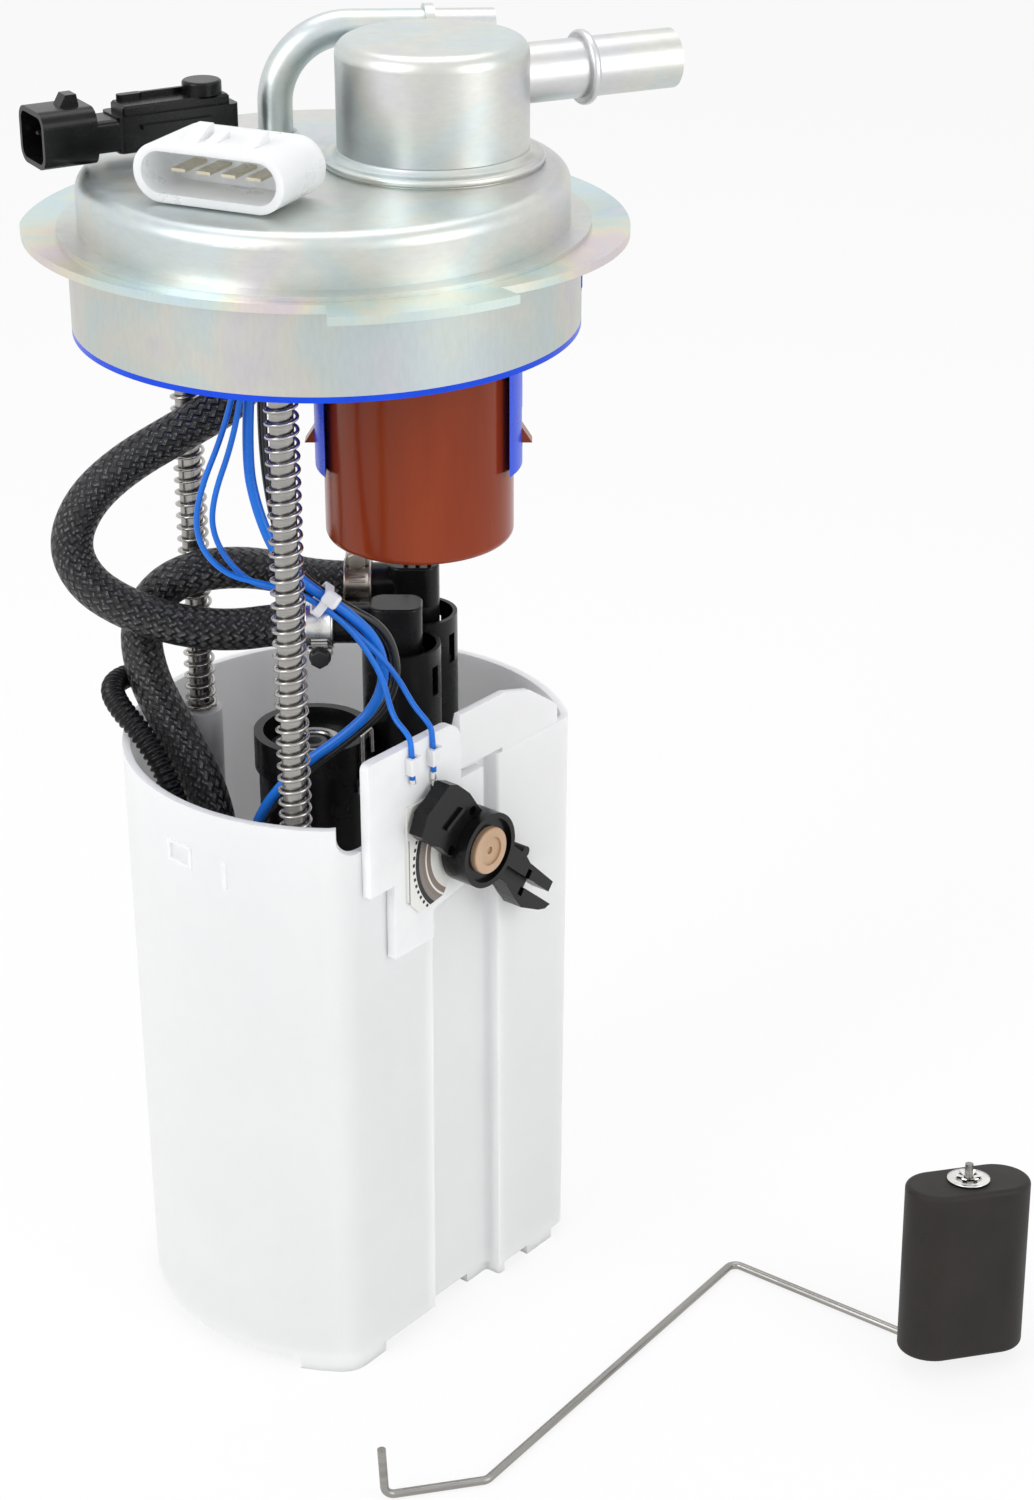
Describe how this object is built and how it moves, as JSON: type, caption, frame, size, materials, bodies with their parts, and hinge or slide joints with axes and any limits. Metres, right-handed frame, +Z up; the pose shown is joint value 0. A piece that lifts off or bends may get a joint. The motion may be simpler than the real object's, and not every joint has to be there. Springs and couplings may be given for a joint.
{
  "type": "fuel pump module",
  "caption": "In-tank fuel pump module: metal flange with tubes and connectors, sprung guide rods, reservoir cup, hoses, level sensor and a loose float arm.",
  "frame": {"origin": "on the tank floor, on the underside of the cup's middle pad, straight under the axis of the round flange", "axes": "+Z up along the flange axis, +X to the right and +Y away from the viewer of the picture; the float arm lies loose in front and to the right"},
  "size_m": [0.2815, 0.1997, 0.3773],
  "materials": {
    "zinc_plate": "satin plated sheet with a faint rainbow tint",
    "bare_steel": "ground steel",
    "spring_steel": "bright drawn wire",
    "arm_steel": "drawn wire",
    "black_plastic": "satin moulding",
    "grey_plastic": "satin moulding",
    "blue_plastic": "glossy moulding",
    "brown_plastic": "glossy moulding",
    "white_plastic": "milky moulding",
    "cup_plastic": "milky, slightly see-through moulding",
    "tan_plastic": "satin moulding",
    "rubber_black": "matt",
    "braid": "woven sleeve",
    "blue_wire": "smooth insulation",
    "black_wire": "smooth insulation",
    "brass": "satin",
    "card": "printed card",
    "magnet": "matt",
    "copper": "satin",
    "float_foam": "matt foam"
  },
  "bodies": {
    "reservoir_unit": {"reservoir": "cup_plastic", "sensor_bracket": "white_plastic", "sensor_card": "card", "sensor_terminals": "bare_steel", "pump_holder": "black_plastic", "pump_can": "bare_steel", "pump_end_cap": "grey_plastic", "pump_top_ring": "bare_steel", "pump_inlet_cover": "grey_plastic", "pump_magnets": "magnet", "filter_housing": "black_plastic", "regulator_housing": "black_plastic", "pressure_regulator": "bare_steel", "inlet_strainer": "white_plastic", "inlet_check_valve": "rubber_black", "jet_pump": "black_plastic", "feed_elbow": "black_plastic", "return_elbow": "black_plastic", "feed_hose_clamp": "spring_steel", "return_hose_clamp": "spring_steel", "feed_hose": "braid", "return_hose": "braid", "drain_tube": "black_plastic", "power_wire": "blue_wire", "ground_wire": "black_wire", "signal_wire_a": "blue_wire", "signal_wire_b": "blue_wire", "wire_plug": "black_plastic", "cable_tie": "white_plastic", "retaining_clip": "spring_steel", "guide_spring_front": "spring_steel", "guide_spring_rear": "spring_steel"},
    "flange": {"cover_shell": "zinc_plate", "cam_ring": "zinc_plate", "skirt_ring": "zinc_plate", "vapour_cap": "zinc_plate", "vapour_tube": "zinc_plate", "feed_tube": "zinc_plate", "pressure_sensor_housing": "black_plastic", "pressure_sensor_lid": "black_plastic", "pressure_sensor_terminals": "brass", "pressure_sensor_grommet": "rubber_black", "pump_connector_housing": "white_plastic", "pump_connector_terminals": "brass", "carrier_ring": "blue_plastic", "vent_valve_housing": "brown_plastic", "vent_valve_base": "brown_plastic", "guide_rod_front": "bare_steel", "guide_rod_rear": "bare_steel", "rod_clips": "spring_steel"},
    "wiper": {"wiper_carrier": "black_plastic", "hub_bushing": "tan_plastic", "wiper_contact": "brass"},
    "vent_float": {"vent_valve_float": "white_plastic"},
    "pump_rotor": {"pump_armature": "copper", "pump_impeller": "grey_plastic"},
    "float_arm": {"float_arm_wire": "arm_steel", "push_nut": "spring_steel"},
    "float": {"level_float": "float_foam"}
  },
  "joints": [
    {"name": "flange_slide", "type": "slide", "parent": "reservoir_unit", "child": "flange", "axis": [0, 0, 1], "range_m": [-0.02, 0], "stiffness_N_per_m": 400, "springref_m": 0.08, "deforming": ["guide_spring_front", "guide_spring_rear", "feed_hose", "power_wire", "ground_wire", "signal_wire_a", "signal_wire_b"]},
    {"name": "wiper_hinge", "type": "hinge", "parent": "reservoir_unit", "child": "wiper", "pos_m": [0.03823, -0.03224, 0.1595], "axis": [0.7771, -0.6293, 0], "range_deg": [0, 75]},
    {"name": "vent_float_slide", "type": "slide", "parent": "flange", "child": "vent_float", "axis": [0, 0, 1], "range_m": [0, 0.004]},
    {"name": "pump_spin", "type": "hinge", "parent": "reservoir_unit", "child": "pump_rotor", "pos_m": [-0.0078, 0.0042, 0.097], "axis": [0, 0, 1], "continuous": true},
    {"name": "float_arm_lift", "type": "slide", "parent": "reservoir_unit", "child": "float_arm", "axis": [0, 0, 1], "range_m": [0, 0.15]},
    {"name": "float_swivel", "type": "hinge", "parent": "float_arm", "child": "float", "pos_m": [0.1809, -0.0553, 0.0012], "axis": [0.0099, 0.1483, 0.9889], "continuous": true}
  ]
}
